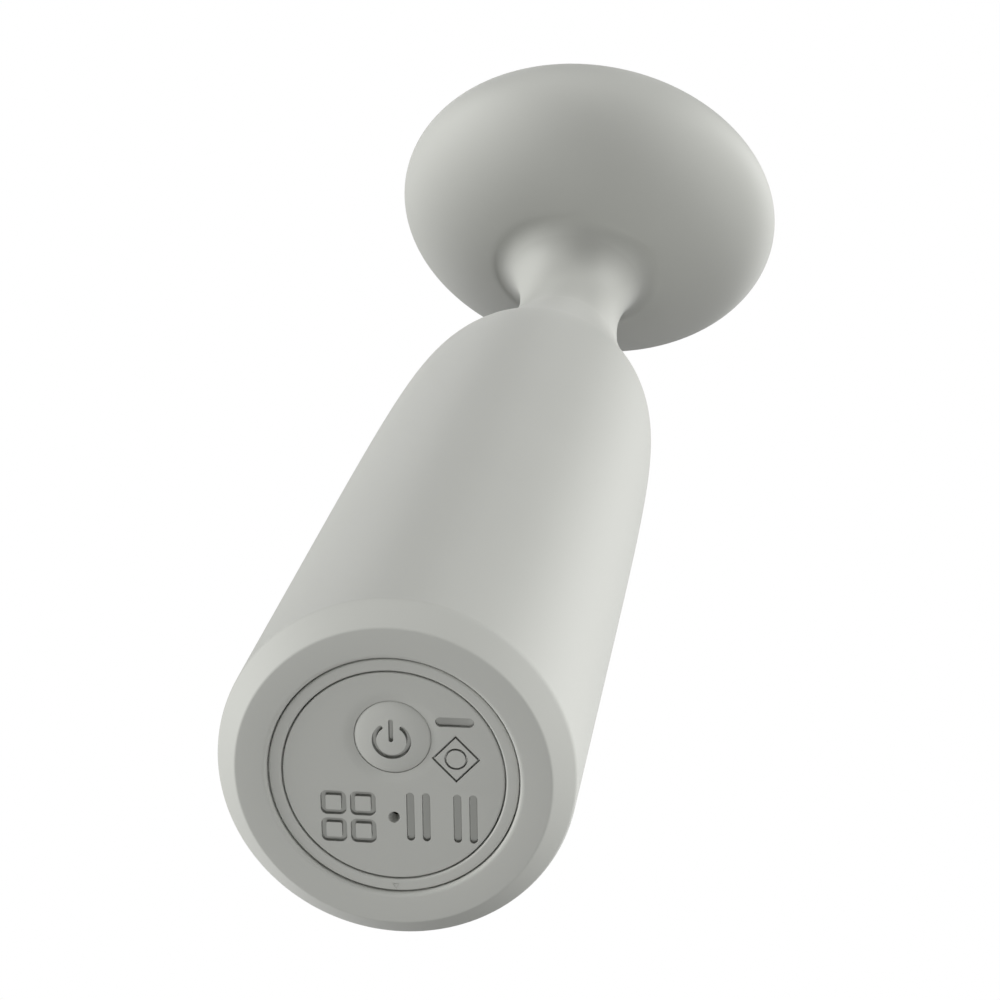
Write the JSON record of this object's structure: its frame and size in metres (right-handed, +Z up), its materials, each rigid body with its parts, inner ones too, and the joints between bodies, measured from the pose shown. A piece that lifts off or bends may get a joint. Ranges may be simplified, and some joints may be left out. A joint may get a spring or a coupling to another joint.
{
  "type": "handheld wand massager",
  "caption": "Cordless silicone-skinned wand with a flattened vibrating head on a flexible bent neck, and a flat foot that holds the power button and charging pin-hole.",
  "frame": {"origin": "centre of the round foot, on the plane that its ring stands on; the flat pad in the middle of the foot is 0.45 mm above it", "axes": "+Z up the handle axis from the foot to the neck; the neck and head lean towards -Y; +X is across the plane of the bend"},
  "size_m": [0.0598, 0.059, 0.204],
  "materials": {
    "silicone": "matte pale warm-grey silicone",
    "cap_abs": "satin grey ABS",
    "housing_abs": "moulded off-white ABS",
    "black_plastic": "moulded black plastic",
    "board": "solder-masked glass-fibre board",
    "steel": "bright steel",
    "brass": "bright brass",
    "nickel": "nickel plated",
    "cell_wrap": "shrink-wrap sleeve, no lettering",
    "foam": "closed-cell foam",
    "red_lead": "PVC insulation",
    "black_lead": "PVC insulation",
    "rubber": "seal rubber",
    "lamp": "translucent white plastic",
    "tungsten": "sintered heavy alloy",
    "magnet": "dark ferrite or laminated steel"
  },
  "bodies": {
    "handle": {"handle_sleeve": "silicone", "base_pad": "silicone", "housing_left": "housing_abs", "housing_right": "housing_abs", "end_cap": "cap_abs", "cap_gasket": "rubber", "control_board": "board", "housing_screw_1": "steel", "housing_screw_2": "steel", "housing_screw_3": "steel", "housing_screw_4": "steel", "board_screw_1": "steel", "board_screw_2": "steel", "board_screw_3": "steel", "control_chip": "black_plastic", "tact_switch": "black_plastic", "charge_socket": "black_plastic", "charge_inductor": "magnet", "battery_connector": "lamp", "status_led": "lamp", "charge_contact": "brass", "battery_cell": "cell_wrap", "battery_tab_lower": "nickel", "battery_tab_upper": "nickel", "neck_ferrule_lower": "nickel", "battery_pad_lower": "foam", "battery_pad_upper": "foam", "battery_lead_red": "red_lead", "battery_lead_black": "black_lead", "motor_lead_handle": "black_lead"},
    "neck": {"neck_sleeve": "silicone", "neck_spring": "steel", "motor_lead_neck": "black_lead"},
    "head": {"head_cover": "silicone", "head_shell_lower": "housing_abs", "head_shell_upper": "housing_abs", "head_screw_1": "steel", "head_screw_2": "steel", "head_screw_3": "steel", "motor_clamp": "steel", "clamp_screw_1": "steel", "clamp_screw_2": "steel", "motor_can": "nickel", "neck_ferrule_upper": "nickel", "motor_end_bell": "black_plastic", "motor_bush": "brass", "motor_magnet_1": "magnet", "motor_magnet_2": "magnet", "motor_lead_head": "black_lead"},
    "rotor": {"motor_shaft": "steel", "motor_commutator": "brass", "motor_armature": "magnet", "eccentric_weight": "tungsten"},
    "button": {"power_button": "silicone", "button_post": "housing_abs"},
    "switch_plunger": {"tact_plunger": "black_plastic"}
  },
  "joints": [
    {"name": "neck_pitch", "type": "hinge", "parent": "handle", "child": "neck", "pos_m": [0, -0.00005, 0.152], "axis": [1, 0, 0], "range_deg": [-10, 10], "stiffness_Nm_per_rad": 1.4},
    {"name": "neck_sway", "type": "hinge", "parent": "neck", "child": "head", "pos_m": [0, -0.00411, 0.16736], "axis": [0, 0.8941, 0.4479], "range_deg": [-10, 10], "stiffness_Nm_per_rad": 1.4},
    {"name": "motor_spin", "type": "hinge", "parent": "head", "child": "rotor", "pos_m": [0, -0.01513, 0.18427], "axis": [1, 0, 0], "continuous": true},
    {"name": "button_press", "type": "slide", "parent": "handle", "child": "button", "axis": [0, 0, 1], "range_m": [0, 0.0004], "stiffness_N_per_m": 4000, "springref_m": -0.0001},
    {"name": "switch_press", "type": "slide", "parent": "handle", "child": "switch_plunger", "axis": [0, 0, 1], "range_m": [0, 0.0004]}
  ],
  "couplings": [
    {"joint": "switch_press", "follows": "button_press", "ratio": 1}
  ]
}
